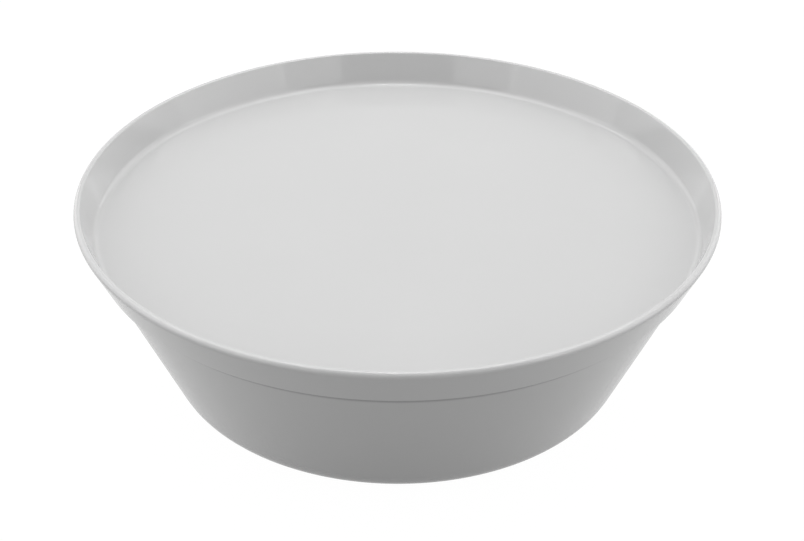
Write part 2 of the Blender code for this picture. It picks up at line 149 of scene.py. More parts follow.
# Fasteners: shank radius, shank length, head radius, head height
RACE_SCREW = (1.5 * MM, 5.1 * MM, 2.75 * MM, 1.8 * MM)
LOWER_SCREW = (1.5 * MM, 6.6 * MM, 2.75 * MM, 1.8 * MM)
PIVOT_SCREW = (2.5 * MM, 17.4 * MM, 5 * MM, 3.2 * MM)
DECK_SCREW = (2 * MM, 20 * MM, 4 * MM, 2.5 * MM)
THREAD_PITCH = 1 * MM
THREAD_DEPTH = 0.35 * MM

# Cross recess in the screw heads: width and length as shares of the head radius, depth of the head height
RECESS_WIDTH = 0.28
RECESS_LENGTH = 1.15
RECESS_DEPTH = 0.6

# Rubber feet
FOOT_RADIUS = 10 * MM
FOOT_THICKNESS = 2.2 * MM
FOOT_FILLET = 0.6 * MM
FOOT_GROOVES = 3
FOOT_GROOVE_WIDTH = 0.8 * MM
FOOT_GROOVE_DEPTH = 0.4 * MM

# Smoothness
LARGE_STEPS = 192
RING_STEPS = 128
SMALL_STEPS = 32
GROOVE_STEPS = 16
BALL_SUBDIVISIONS = 4
ARC_STEP = radians(7)
SUPPORT = 1.2 * MM
SHARP_ANGLE = radians(30)
SMALL_FILLET = 0.25 * MM
WORN_CURVATURE = 0.6 / MM
# Painted shade just below the seam: how much it darkens the bowl's colour, and over what height it fades in
SEAM_SHADE_DARKNESS = 0.35
SEAM_SHADE_FADE = 1.5 * MM
OVERLAP = 1 * MM

# Heights and radii worked out from the sizes above
TRAY_FLOOR_Z = RIM_Z - TRAY_DEPTH
UNDERSIDE_Z = TRAY_FLOOR_Z - TRAY_FLOOR
BAND_BOTTOM_Z = RIM_Z - BAND_HEIGHT
BOWL_TOP_Z = BAND_BOTTOM_Z - SEAM_GAP
BOWL_FLOOR_Z = FOOT_STAND + BOWL_WALL
UPPER_FLANGE_Z = UNDERSIDE_Z - LAND_HEIGHT - GAP - SHEET
BALL_Z = UPPER_FLANGE_Z - FLANGE_SPACE / 2
LOWER_FLANGE_Z = BALL_Z - FLANGE_SPACE / 2
DECK_Z = LOWER_FLANGE_Z - SHEET - GAP
PIVOT_END_Z = UNDERSIDE_Z - PIVOT_LENGTH
SOCKET_Z = BOWL_FLOOR_Z + BOSS_HEIGHT
LEG_FOOT_Z = SOCKET_Z + GAP
FOOT_POCKET_Z = FOOT_THICKNESS + GAP
LIP_CORNER_RADIUS = RIM_RADIUS - LIP_OUTER_FILLET + LIP_OUTER_FILLET / tan((pi / 2 - BAND_SLOPE) / 2)
BAND_BOTTOM_RADIUS = LIP_CORNER_RADIUS - BAND_HEIGHT * tan(BAND_SLOPE)
BOWL_SLOPE = atan2(BOWL_TOP_RADIUS - BOWL_BOTTOM_RADIUS, BOWL_TOP_Z - FOOT_STAND)


# ---------- shapes ----------


def corner_arc(before, corner, after, radius):
    """Points of the arc that rounds a corner between two straight sides."""
    into = (before - corner).normalized()
    out = (after - corner).normalized()
    half_angle = into.angle(out) / 2
    centre = corner + (into + out).normalized() * radius / sin(half_angle)
    first = corner + into * radius / tan(half_angle) - centre
    last = corner + out * radius / tan(half_angle) - centre
    start = atan2(first.y, first.x)
    turn = (atan2(last.y, last.x) - start + pi) % (2 * pi) - pi
    steps = max(2, round(abs(turn) / ARC_STEP))
    angles = [start + turn * step / steps for step in range(steps + 1)]
    return [centre + radius * Vector((cos(angle), sin(angle))) for angle in angles]


def rounded(corners):
    """An outline of (radius, height) or (radius, height, fillet) corners, with the fillets drawn in."""
    points = []
    for index, (x, z, *fillet) in enumerate(corners):
        here = Vector((x, z))
        if not fillet:
            points.append(here)
            continue
        before = Vector(corners[index - 1][:2])
        after = Vector(corners[(index + 1) % len(corners)][:2])
        points.extend(corner_arc(before, here, after, fillet[0]))
    return points


def supported(points):
    """The outline with a point beside each end of a long side, to keep shading and wear at its corners."""
    on_axis = points[0].x == 0
    followers = points[1:] if on_axis else points[1:] + points[:1]
    held = []
    for here, following in zip(points, followers):
        held.append(here)
        side = following - here
        if side.length > 4 * SUPPORT:
            step = side.normalized() * SUPPORT
            held.extend([here + step, following - step])
    if on_axis:
        held.append(points[-1])
    return held


def new_piece(shape, name):
    mesh = bpy.data.meshes.new(name)
    shape.to_mesh(mesh)
    shape.free()
    item = bpy.data.objects.new(name, mesh)
    bpy.context.scene.collection.objects.link(item)
    return item


def turned(name, corners, steps):
    """A turned piece. An outline that starts on the axis is open there, and any other is a closed loop."""
    points = supported(rounded(corners))
    directions = [(cos(2 * pi * step / steps), sin(2 * pi * step / steps)) for step in range(steps)]
    shape = bmesh.new()
    rings = []
    for radius, height in points:
        if radius == 0:
            rings.append([shape.verts.new((0, 0, height))] * steps)
        else:
            rings.append([shape.verts.new((radius * x, radius * y, height)) for x, y in directions])
    followers = rings[1:] if points[0].x == 0 else rings[1:] + rings[:1]
    for ring, following in zip(rings, followers):
        for step in range(steps):
            beside = (step + 1) % steps
            corner_points = dict.fromkeys([ring[step], following[step], following[beside], ring[beside]])
            if len(corner_points) > 2:
                shape.faces.new(list(corner_points))
    return new_piece(shape, name)


def around(count, circle, height, start=0.0):
    """(location, angle) of places spaced evenly on a circle."""
    places = []
    for index in range(count):
        angle = start + 2 * pi * index / count
        places.append((Vector((circle * cos(angle), circle * sin(angle), height)), angle))
    return places


def repeated(source, places):
    """One helper that holds a copy of the source shape at each place."""
    shape = bmesh.new()
    for location, angle in places:
        copy = source.data.copy()
        copy.transform(Matrix.Translation(location) @ Matrix.Rotation(angle, 4, "Z"))
        shape.from_mesh(copy)
    bpy.data.objects.remove(source)
    return new_piece(shape, "helper")


def cylinder(radius, low, high):
    return turned("helper", [(0, high), (radius, high), (radius, low), (0, low)], SMALL_STEPS)


def radial_bar(inner, outer, width, low, high):
    """A helper bar that runs outwards along +X."""
    shape = bmesh.new()
    size = Matrix.Diagonal((outer - inner, width, high - low, 1))
    middle = Matrix.Translation(((inner + outer) / 2, 0, (low + high) / 2))
    bmesh.ops.create_cube(shape, size=1, matrix=middle @ size)
    return new_piece(shape, "helper")


def carve(item, helper, operation):
    """Joins a helper to a piece, or cuts it away, and keeps only the resulting mesh."""
    boolean = item.modifiers.new("carve", "BOOLEAN")
    boolean.operation = operation
    boolean.solver = "EXACT"
    boolean.object = helper
    bpy.context.view_layer.update()
    graph = bpy.context.evaluated_depsgraph_get()
    item.data = bpy.data.meshes.new_from_object(item.evaluated_get(graph))
    item.modifiers.remove(boolean)
    bpy.data.objects.remove(helper)


def mark_wear(mesh):
    """Writes how tightly each point's surface bends outwards, from 0 to 1, for the materials' worn edges."""
    shape = bmesh.new()
    shape.from_mesh(mesh)
    wear = [0.0] * len(shape.verts)
    for edge in shape.edges:
        if len(edge.link_faces) != 2 or edge.calc_length() == 0:
            continue
        bend = edge.calc_face_angle_signed(0)
        width = sum(face.calc_area() for face in edge.link_faces) / (2 * edge.calc_length())
        curvature = bend / max(width, SMALL_FILLET)
        for corner in edge.verts:
            wear[corner.index] = max(wear[corner.index], min(curvature / WORN_CURVATURE, 1.0))
    shape.free()
    attribute = mesh.attributes.new("edge_wear", "FLOAT", "POINT")
    attribute.data.foreach_set("value", wear)


def finish_piece(item, node, body, material):
    """Shades a piece, gives it its material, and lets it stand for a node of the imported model."""
    mesh = item.data
    mesh.materials.clear()
    mesh.materials.append(material)
    mesh.shade_smooth()
    mesh.set_sharp_from_angle(angle=SHARP_ANGLE)
    if "edge_wear" not in mesh.attributes:
        mark_wear(mesh)
    item.name = node + "_finished"
    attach(item, body)
    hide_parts(node)


# ---------- pieces ----------


def make_tray():
    rib_bottom = UNDERSIDE_Z - LOCATING_RIB_HEIGHT
    rib_inner = LOCATING_RIB_RADIUS - LOCATING_RIB_WIDTH
    band_foot_inner = BAND_BOTTOM_RADIUS - BAND_FOOT_WIDTH
    land_z = UNDERSIDE_Z - LAND_HEIGHT
    tray = turned(
        "tray",
        [
            (0, TRAY_FLOOR_Z),
            (TRAY_FLOOR_RADIUS, TRAY_FLOOR_Z, TRAY_CORNER_FILLET),
            (RIM_RADIUS - LIP_WIDTH, RIM_Z, LIP_INNER_FILLET),
            (LIP_CORNER_RADIUS, RIM_Z, LIP_OUTER_FILLET),
            (BAND_BOTTOM_RADIUS, BAND_BOTTOM_Z, BAND_EDGE_FILLET),
            (band_foot_inner, BAND_BOTTOM_Z, SMALL_FILLET),
            (band_foot_inner, UNDERSIDE_Z),
            (LOCATING_RIB_RADIUS, UNDERSIDE_Z, SMALL_FILLET),
            (LOCATING_RIB_RADIUS, rib_bottom, SMALL_FILLET),
            (rib_inner, rib_bottom, SMALL_FILLET),
            (rib_inner, UNDERSIDE_Z),
            (RACE_OUTER_RADIUS, UNDERSIDE_Z),
            (RACE_OUTER_RADIUS, land_z, SMALL_FILLET),
            (RACE_OUTER_RADIUS - LAND_WIDTH, land_z, SMALL_FILLET),
            (RACE_OUTER_RADIUS - LAND_WIDTH, UNDERSIDE_Z),
            (RACE_INNER_RADIUS + LAND_WIDTH, UNDERSIDE_Z),
            (RACE_INNER_RADIUS + LAND_WIDTH, land_z, SMALL_FILLET),
            (RACE_INNER_RADIUS, land_z, SMALL_FILLET),
            (RACE_INNER_RADIUS, UNDERSIDE_Z),
            (PIVOT_RADIUS, UNDERSIDE_Z),
            (PIVOT_RADIUS, PIVOT_END_Z, SMALL_FILLET),
            (PIVOT_SCREW[0] + GAP, PIVOT_END_Z),
            (PIVOT_SCREW[0] + GAP, PIVOT_END_Z + PIVOT_SCREW[1]),
            (0, PIVOT_END_Z + PIVOT_SCREW[1]),
        ],
        LARGE_STEPS,
    )
    rib = radial_bar(
        RACE_OUTER_RADIUS - OVERLAP,
        rib_inner + OVERLAP / 2,
        STIFFENING_RIB_WIDTH,
        UNDERSIDE_Z - STIFFENING_RIB_HEIGHT,
        UNDERSIDE_Z + OVERLAP,
    )
    carve(tray, repeated(rib, around(STIFFENING_RIBS, 0, 0, RIB_START)), "UNION")
    pilot = cylinder(RACE_SCREW[0] + GAP, -OVERLAP, RACE_SCREW[1] - SHEET)
    holes = around(RACE_SCREWS, UPPER_SCREW_CIRCLE, land_z - GAP, pi / RACE_SCREWS)
    carve(tray, repeated(pilot, holes), "DIFFERENCE")
    return tray


def make_bowl():
    wall = BOWL_WALL / cos(BOWL_SLOPE)
    floor_radius = BOWL_BOTTOM_RADIUS + BOWL_WALL * tan(BOWL_SLOPE) - wall
    bowl = turned(
        "bowl",
        [
            (0, BOWL_FLOOR_Z),
            (floor_radius, BOWL_FLOOR_Z, BOWL_BOTTOM_FILLET - BOWL_WALL),
            (BOWL_TOP_RADIUS - wall, BOWL_TOP_Z, BOWL_EDGE_FILLET),
            (BOWL_TOP_RADIUS, BOWL_TOP_Z, BOWL_EDGE_FILLET),
            (BOWL_BOTTOM_RADIUS, FOOT_STAND, BOWL_BOTTOM_FILLET),
            (0, FOOT_STAND),
        ],
        LARGE_STEPS,
    )
    places = around(LEGS, LEG_CIRCLE, 0)
    boss = cylinder(SOCKET_RADIUS + SOCKET_WALL, FOOT_STAND + OVERLAP, SOCKET_Z + SOCKET_DEPTH)
    carve(bowl, repeated(boss, places), "UNION")
    screw_radius, _, head_radius, head_height = DECK_SCREW
    head_seat_z = FOOT_POCKET_Z + head_height + 2 * GAP
    stepped_hole = turned(
        "helper",
        [
            (0, SOCKET_Z + SOCKET_DEPTH + OVERLAP),
            (SOCKET_RADIUS, SOCKET_Z + SOCKET_DEPTH + OVERLAP),
            (SOCKET_RADIUS, SOCKET_Z),
            (screw_radius + GAP, SOCKET_Z),
            (screw_radius + GAP, head_seat_z),
            (head_radius + GAP, head_seat_z),
            (head_radius + GAP, FOOT_POCKET_Z),
            (FOOT_RADIUS + GAP, FOOT_POCKET_Z),
            (FOOT_RADIUS + GAP, FOOT_STAND - OVERLAP),
            (0, FOOT_STAND - OVERLAP),
        ],
        SMALL_STEPS,
    )
    carve(bowl, repeated(stepped_hole, places), "DIFFERENCE")
    return bowl


def make_deck():
    underside = DECK_Z - DECK_THICKNESS
    hub_bore = PIVOT_RADIUS + GAP + BUSH_WALL + GAP
    channel_inner = BALL_CIRCLE - CHANNEL_WIDTH / 2
    channel_outer = BALL_CIRCLE + CHANNEL_WIDTH / 2
    skirt_z = DECK_Z - DECK_SKIRT_DEPTH
    deck = turned(
        "deck",
        [
            (hub_bore, DECK_Z, SMALL_FILLET),
            (channel_inner, DECK_Z, SMALL_FILLET),
            (channel_inner, DECK_Z - CHANNEL_DEPTH, SMALL_FILLET),
            (channel_outer, DECK_Z - CHANNEL_DEPTH, SMALL_FILLET),
            (channel_outer, DECK_Z, SMALL_FILLET),
            (DECK_RADIUS, DECK_Z, DECK_SKIRT_WIDTH),
            (DECK_RADIUS, skirt_z, SMALL_FILLET),
            (DECK_RADIUS - DECK_SKIRT_WIDTH, skirt_z, SMALL_FILLET),
            (DECK_RADIUS - DECK_SKIRT_WIDTH, underside),
            (channel_outer + DECK_THICKNESS, underside),
            (channel_outer + DECK_THICKNESS, underside - CHANNEL_DEPTH, SMALL_FILLET),
            (channel_inner - DECK_THICKNESS, underside - CHANNEL_DEPTH, SMALL_FILLET),
            (channel_inner - DECK_THICKNESS, underside),
            (hub_bore + HUB_WALL, underside),
            (hub_bore + HUB_WALL, DECK_Z - HUB_DEPTH, SMALL_FILLET),
            (hub_bore, DECK_Z - HUB_DEPTH, SMALL_FILLET),
        ],
        RING_STEPS,
    )
    legs = around(LEGS, LEG_CIRCLE, 0)
    leg = turned(
        "helper",
        [
            (0, underside + OVERLAP),
            (LEG_TOP_RADIUS, underside + OVERLAP),
            (LEG_FOOT_RADIUS, LEG_FOOT_Z, SMALL_FILLET),
            (DECK_SCREW[0] + GAP, LEG_FOOT_Z),
            (DECK_SCREW[0] + GAP, LEG_FOOT_Z + LEG_PILOT_DEPTH),
            (0, LEG_FOOT_Z + LEG_PILOT_DEPTH),
        ],
        SMALL_STEPS,
    )
    carve(deck, repeated(leg, legs), "UNION")
    bar = radial_bar(
        hub_bore + HUB_WALL - OVERLAP,
        channel_inner - DECK_THICKNESS + OVERLAP,
        DECK_RIB_WIDTH,
        DECK_Z - DECK_RIB_DEPTH,
        underside + OVERLAP,
    )
    carve(deck, repeated(bar, around(LEGS, 0, 0)), "UNION")
    pads = around(RACE_SCREWS, LOWER_SCREW_CIRCLE, 0)
    pad = cylinder(SCREW_PAD_RADIUS, DECK_Z - SCREW_PAD_DEPTH, underside + OVERLAP)
    carve(deck, repeated(pad, pads), "UNION")
    pilot = cylinder(LOWER_SCREW[0] + GAP, DECK_Z - SCREW_PAD_DEPTH + OVERLAP, DECK_Z + OVERLAP)
    carve(deck, repeated(pilot, pads), "DIFFERENCE")
    vent = cylinder(VENT_RADIUS, underside - 2 * OVERLAP, DECK_Z + OVERLAP)
    carve(deck, repeated(vent, around(LEGS, VENT_CIRCLE, 0, pi / LEGS)), "DIFFERENCE")
    return deck


def groove(radius, flange_offset, start_side):
    """Arc of a race's groove, from the flange on one side of the ball circle to the flange on the other."""
    reach = atan2(flange_offset, (radius**2 - flange_offset**2) ** 0.5)
    span = pi - 2 * reach
    points = []
    for step in range(GROOVE_STEPS + 1):
        angle = -pi / 2 + start_side * (span / 2 - span * step / GROOVE_STEPS)
        points.append((BALL_CIRCLE + radius * cos(angle), radius * sin(angle)))
    return points


def make_race(facing, screw_circle, screw_start):
    """A pressed steel ring. facing is 1 for the lower race, whose groove opens upwards, else -1."""
    near = -FLANGE_SPACE / 2
    far = near - SHEET
    outline = [(RACE_OUTER_RADIUS, near, SMALL_FILLET), (RACE_OUTER_RADIUS, far, SMALL_FILLET)]
    outline += groove(GROOVE_RADIUS + SHEET, -far, 1)
    outline += [(RACE_INNER_RADIUS, far, SMALL_FILLET), (RACE_INNER_RADIUS, near, SMALL_FILLET)]
    outline += groove(GROOVE_RADIUS, -near, -1)
    corners = [(x, BALL_Z + facing * z, *fillet) for x, z, *fillet in outline]
    if facing < 0:
        corners.reverse()
    race = turned("race", corners, RING_STEPS)
    hole = cylinder(RACE_SCREW[0] + GAP, BALL_Z - 2 * BALL_RADIUS, BALL_Z + 2 * BALL_RADIUS)
    carve(race, repeated(hole, around(RACE_SCREWS, screw_circle, 0, screw_start)), "DIFFERENCE")
    return race


def make_cage():
    inner = BALL_CIRCLE - CAGE_WIDTH / 2
    outer = BALL_CIRCLE + CAGE_WIDTH / 2
    low = BALL_Z - CAGE_THICKNESS / 2
    high = BALL_Z + CAGE_THICKNESS / 2
    corners = [(outer, high), (outer, low), (inner, low), (inner, high)]
    cage = turned("cage", [(x, z, SMALL_FILLET) for x, z in corners], RING_STEPS)
    pocket = cylinder(BALL_RADIUS + GAP, -2 * CAGE_THICKNESS, 2 * CAGE_THICKNESS)
    carve(cage, repeated(pocket, around(BALLS, BALL_CIRCLE, BALL_Z)), "DIFFERENCE")
    return cage


def make_ball():
    shape = bmesh.new()
    bmesh.ops.create_icosphere(shape, subdivisions=BALL_SUBDIVISIONS, radius=BALL_RADIUS)
    return new_piece(shape, "ball")


def make_bush():
    bore = PIVOT_RADIUS + GAP
    tube = bore + BUSH_WALL
    return turned(
        "bush",
        [
            (BUSH_FLANGE_RADIUS, DECK_Z + GAP + BUSH_FLANGE, SMALL_FILLET),
            (BUSH_FLANGE_RADIUS, DECK_Z + GAP, SMALL_FILLET),
            (tube, DECK_Z + GAP),
            (tube, DECK_Z - HUB_DEPTH - GAP, SMALL_FILLET),
            (bore, DECK_Z - HUB_DEPTH - GAP, SMALL_FILLET),
            (bore, DECK_Z + GAP + BUSH_FLANGE, SMALL_FILLET),
        ],
        RING_STEPS,
    )


def make_pivot_washer():
    high = PIVOT_END_Z - GAP
    low = high - WASHER_THICKNESS
    bore = PIVOT_SCREW[0] + GAP
    corners = [(WASHER_RADIUS, high), (WASHER_RADIUS, low), (bore, low), (bore, high)]
    return turned("washer", [(x, z, SMALL_FILLET) for x, z in corners], RING_STEPS)


def make_screw(size):
    """A pan-head screw with thread ridges and a cross recess, its head below the origin."""
    shank_radius, length, head_radius, head_height = size
    thread_end = length - shank_radius
    corners = [(0, length), (shank_radius / 4, length), (shank_radius - THREAD_DEPTH, thread_end)]
    for turn in range(int(thread_end / THREAD_PITCH)):
        crest_z = thread_end - (turn + 0.5) * THREAD_PITCH
        corners += [(shank_radius, crest_z), (shank_radius - THREAD_DEPTH, crest_z - THREAD_PITCH / 2)]
    corners += [
        (shank_radius - THREAD_DEPTH, 0),
        (head_radius, 0, SMALL_FILLET),
        (head_radius, -head_height, head_height / 2),
        (0, -head_height),
    ]
    screw = turned("screw", corners, SMALL_STEPS)
    half_length = RECESS_LENGTH * head_radius / 2
    width = RECESS_WIDTH * head_radius
    for places in (around(1, 0, 0), around(1, 0, 0, pi / 2)):
        low = -head_height - OVERLAP
        bar = radial_bar(-half_length, half_length, width, low, -RECESS_DEPTH * head_height)
        carve(screw, repeated(bar, places), "DIFFERENCE")
    return screw


def make_foot():
    """A rubber disc with ring grooves in its lower face."""
    corners = [
        (0, FOOT_THICKNESS),
        (FOOT_RADIUS, FOOT_THICKNESS, SMALL_FILLET),
        (FOOT_RADIUS, 0, FOOT_FILLET),
    ]
    for index in range(FOOT_GROOVES, 0, -1):
        middle = FOOT_RADIUS * index / (FOOT_GROOVES + 1)
        corners += [
            (middle + FOOT_GROOVE_WIDTH / 2, 0),
            (middle + FOOT_GROOVE_WIDTH / 4, FOOT_GROOVE_DEPTH),
            (middle - FOOT_GROOVE_WIDTH / 4, FOOT_GROOVE_DEPTH),
            (middle - FOOT_GROOVE_WIDTH / 2, 0),
        ]
    corners.append((0, 0))
    return turned("foot", corners, SMALL_STEPS * 2)


def finish_copies(source, names, places, bodies, points_up, material):
    """Puts a copy of one small piece at each place, and removes the source."""
    for name, (location, angle), body in zip(names, places, bodies):
        copy = bpy.data.objects.new(name, source.data.copy())
        bpy.context.scene.collection.objects.link(copy)
        copy.location = location
        copy.rotation_euler = (0 if points_up else pi, 0, angle)
        finish_piece(copy, name, body, material)
    bpy.data.objects.remove(source)


# ---------- materials ----------


class Recipe:
    """A node material built up from its Principled shader."""

    def __init__(self, slot, colour, roughness, metallic=0.0):
        self.material = bpy.data.materials.new("finished_" + slot)
        self.material["slot"] = slot
        self.material.use_nodes = True
        self.tree = self.material.node_tree
        self.shader = self.tree.nodes["Principled BSDF"]
        self.shader.inputs["Metallic"].default_value = metallic
        self.place = self.tree.nodes.new("ShaderNodeTexCoord").outputs["Object"]
        self.colour = colour
        self.tone = self.value(1.0)
        self.roughness = self.value(roughness)
        self.height = None

    def value(self, number):
        node = self.tree.nodes.new("ShaderNodeValue")
        node.outputs[0].default_value = number
        return node.outputs[0]

    def maths(self, operation, first, second, third=0.0):
        node = self.tree.nodes.new("ShaderNodeMath")
        node.operation = operation
        for socket, item in zip(node.inputs, (first, second, third)):
            if isinstance(item, (int, float)):
                socket.default_value = item
            else:
                self.tree.links.new(item, socket)
        return node.outputs[0]

    def stretched(self, scale, angle=0.0):
        node = self.tree.nodes.new("ShaderNodeMapping")
        node.inputs["Scale"].default_value = scale
        node.inputs["Rotation"].default_value = (0, 0, angle)
        self.tree.links.new(self.place, node.inputs["Vector"])
        return node.outputs[0]

    def noise(self, size, detail=2.0, place=None):
        """Soft mottling from about 0.25 to 0.75, with features of roughly this size."""
        node = self.tree.nodes.new("ShaderNodeTexNoise")
        node.inputs["Scale"].default_value = 1 / size
        node.inputs["Detail"].default_value = detail
        self.tree.links.new(place or self.place, node.inputs["Vector"])
        return node.outputs["Fac"]

    def grains(self, size):
        """Cells of this size, each with a brightness of its own."""
        node = self.tree.nodes.new("ShaderNodeTexVoronoi")
        node.inputs["Scale"].default_value = 1 / size
        self.tree.links.new(self.place, node.inputs["Vector"])
        parts = self.tree.nodes.new("ShaderNodeSeparateColor")
        self.tree.links.new(node.outputs["Color"], parts.inputs[0])
        return parts.outputs[0]

    def level(self):
        """Height on the piece."""
        parts = self.tree.nodes.new("ShaderNodeSeparateXYZ")
        self.tree.links.new(self.place, parts.inputs[0])
        return parts.outputs["Z"]

    def rings(self, pitch):
        """Concentric tool marks round the piece's own axis."""
        parts = self.tree.nodes.new("ShaderNodeSeparateXYZ")
        self.tree.links.new(self.place, parts.inputs[0])
        across = self.maths("MULTIPLY", parts.outputs["X"], parts.outputs["X"])
        along = self.maths("MULTIPLY", parts.outputs["Y"], parts.outputs["Y"])
        radius = self.maths("SQRT", self.maths("ADD", across, along), 0.0)
        node = self.tree.nodes.new("ShaderNodeTexNoise")
        node.noise_dimensions = "1D"
        node.inputs["Scale"].default_value = 1 / pitch
        node.inputs["Detail"].default_value = 3
        self.tree.links.new(radius, node.inputs["W"])
        return node.outputs["Fac"]

    def hairlines(self, length, width, angle, amount):
        """Fine straight scratches in one direction, from 0 to 1. A larger amount marks more of them."""
        place = self.stretched((1 / length, 1 / width, 1 / length), angle)
        mottle = self.noise(1.0, 1.0, place)
        return self.between(mottle, 0.8 - amount, 0.83 - amount)

    def between(self, source, low, high):
        node = self.tree.nodes.new("ShaderNodeMapRange")
        node.inputs["From Min"].default_value = low
        node.inputs["From Max"].default_value = high
        self.tree.links.new(source, node.inputs["Value"])
        return node.outputs[0]

    def wear(self, patch_size):
        """The mesh's own edge wear, broken into patches."""
        node = self.tree.nodes.new("ShaderNodeAttribute")
        node.attribute_name = "edge_wear"
        patches = self.between(self.noise(patch_size, 4.0), 0.42, 0.62)
        return self.maths("MULTIPLY", node.outputs["Fac"], patches)

    def shade(self, source, amount, middle=0.5):
        """Lightens or darkens the colour by an amount at the source's extremes."""
        offset = self.maths("SUBTRACT", source, middle)
        self.tone = self.maths("MULTIPLY_ADD", offset, amount, self.tone)

    def roughen(self, source, amount, middle=0.5):
        offset = self.maths("SUBTRACT", source, middle)
        self.roughness = self.maths("MULTIPLY_ADD", offset, amount, self.roughness)

    def raise_by(self, source, height):
        """Bumps the surface by a height in metres."""
        scaled = self.maths("MULTIPLY", source, height / MM)
        self.height = scaled if self.height is None else self.maths("ADD", self.height, scaled)

    def made(self):
        base = self.tree.nodes.new("ShaderNodeVectorMath")
        base.operation = "SCALE"
        base.inputs[0].default_value = self.colour
        self.tree.links.new(self.tone, base.inputs["Scale"])
        self.tree.links.new(base.outputs[0], self.shader.inputs["Base Color"])
        self.tree.links.new(self.roughness, self.shader.inputs["Roughness"])
        bump = self.tree.nodes.new("ShaderNodeBump")
        bump.inputs["Distance"].default_value = MM
        self.tree.links.new(self.height, bump.inputs["Height"])
        self.tree.links.new(bump.outputs[0], self.shader.inputs["Normal"])
        return self.material


def moulded_plastic(slot, colour, roughness, scratches, shaded_from=None, shaded_to=None):
    """Glossy injection-moulded plastic: faint flow shading, orange peel, wiped smears and use scratches.

    Painted shade darkens the colour from one height upwards, fading in from a lower one, for the shadow
    under the tray's edge at the seam.
    """
    recipe = Recipe(slot, colour, roughness)
    if shaded_to:
        # Painted shade: the colour darkens in a band on the bowl just below the seam, standing in for the
        # shadow under the tray's edge
        recipe.shade(recipe.between(recipe.level(), shaded_from, shaded_to), -SEAM_SHADE_DARKNESS, 0.0)
    recipe.shade(recipe.noise(60 * MM), 0.03)
    recipe.shade(recipe.noise(1.5 * MM), 0.012)
    recipe.roughen(recipe.noise(35 * MM, 4.0), 0.06)
    recipe.raise_by(recipe.noise(2.6 * MM, 1.0), 0.002 * MM)
    recipe.raise_by(recipe.noise(22 * MM, 1.0), 0.02 * MM)
    for angle in (0.3, 1.2, 2.4):
        lines = recipe.hairlines(22 * MM, 0.35 * MM, angle, scratches)
        recipe.roughen(lines, 0.06, 0.0)
        recipe.raise_by(lines, -0.0002 * MM)
    worn = recipe.wear(4 * MM)
    recipe.shade(worn, 0.02, 0.0)
    recipe.roughen(worn, 0.06, 0.0)
    return recipe.made()


def textured_plastic(slot, colour, roughness, grain_size, grain_height):
    """Plastic from a spark-eroded mould, with a fine even grain that is rubbed smooth on its edges."""
    recipe = Recipe(slot, colour, roughness)
    recipe.shade(recipe.noise(40 * MM), 0.06)
    recipe.shade(recipe.noise(0.8 * MM), 0.05)
    recipe.roughen(recipe.noise(12 * MM, 3.0), 0.1)
    recipe.raise_by(recipe.noise(grain_size, 2.0), grain_height)
    worn = recipe.wear(3 * MM)
    recipe.shade(worn, 0.12, 0.0)
    recipe.roughen(worn, -0.12, 0.0)
    return recipe.made()


def zinc_steel(slot, colour, roughness):
    """Zinc-plated steel: pale spangle, forming marks round the axis, and brighter rubbed edges."""
    recipe = Recipe(slot, colour, roughness, metallic=1.0)
    recipe.shade(recipe.grains(3.5 * MM), 0.1)
    recipe.shade(recipe.noise(18 * MM, 3.0), 0.12)
    recipe.roughen(recipe.grains(3.5 * MM), 0.12)
    marks = recipe.rings(0.35 * MM)
    recipe.roughen(marks, 0.15)
    recipe.raise_by(marks, 0.004 * MM)
    worn = recipe.wear(2 * MM)
    recipe.shade(worn, 0.25, 0.0)
    recipe.roughen(worn, -0.1, 0.0)
    return recipe.made()


def ground_steel(slot, colour, roughness):
    """Ground and polished bearing steel with faint grinding lines."""
    recipe = Recipe(slot, colour, roughness, metallic=1.0)
    recipe.shade(recipe.noise(3 * MM), 0.05)
    recipe.roughen(recipe.noise(1.5 * MM, 4.0), 0.08)
    for angle in (0.6, 2.1):
        lines = recipe.hairlines(3 * MM, 0.1 * MM, angle, 0.1)
        recipe.roughen(lines, 0.1, 0.0)
        recipe.raise_by(lines, -0.0005 * MM)
    return recipe.made()


def rubber(slot, colour, roughness):
    """Dark moulded rubber with a fine grain and a little pale dust on its worn edges."""
    recipe = Recipe(slot, colour, roughness)
    recipe.shade(recipe.noise(5 * MM, 4.0), 0.4)
    recipe.roughen(recipe.noise(2 * MM, 3.0), 0.15)
    recipe.raise_by(recipe.noise(0.35 * MM, 3.0), 0.02 * MM)
    worn = recipe.wear(1.5 * MM)
    recipe.shade(worn, 1.2, 0.0)
    return recipe.made()


# ---------- camera and studio ----------


def make_camera():
    data = bpy.data.cameras.new("camera")
    data.lens = CAMERA_LENS
    data.shift_x = CAMERA_SHIFT
    data.clip_end = 4 * FLOOR_RADIUS
    camera = bpy.data.objects.new("camera", data)
    bpy.context.scene.collection.objects.link(camera)
    back = Vector((0, -cos(CAMERA_ELEVATION), sin(CAMERA_ELEVATION)))
    camera.location = Vector((0, 0, CAMERA_AIM_HEIGHT)) + back * CAMERA_DISTANCE
    camera.rotation_mode = "QUATERNION"
    tilt = Quaternion((1, 0, 0), pi / 2 - CAMERA_ELEVATION)
    camera.rotation_quaternion = tilt @ Quaternion((0, 0, 1), CAMERA_ROLL)
    bpy.context.scene.camera = camera


def seen_directly(tree, plain, seen, seen_share):
    """Mixes two shaders: the camera sees the second one, and light bouncing about meets the first."""
    mix = tree.nodes.new("ShaderNodeMixShader")
    path = tree.nodes.new("ShaderNodeLightPath")
    share = tree.nodes.new("ShaderNodeMath")
    share.operation = "MULTIPLY"
    share.inputs[1].default_value = seen_share
    tree.links.new(path.outputs["Is Camera Ray"], share.inputs[0])
    tree.links.new(share.outputs[0], mix.inputs["Fac"])
    tree.links.new(plain, mix.inputs[1])
    tree.links.new(seen, mix.inputs[2])
    return mix.outputs[0]


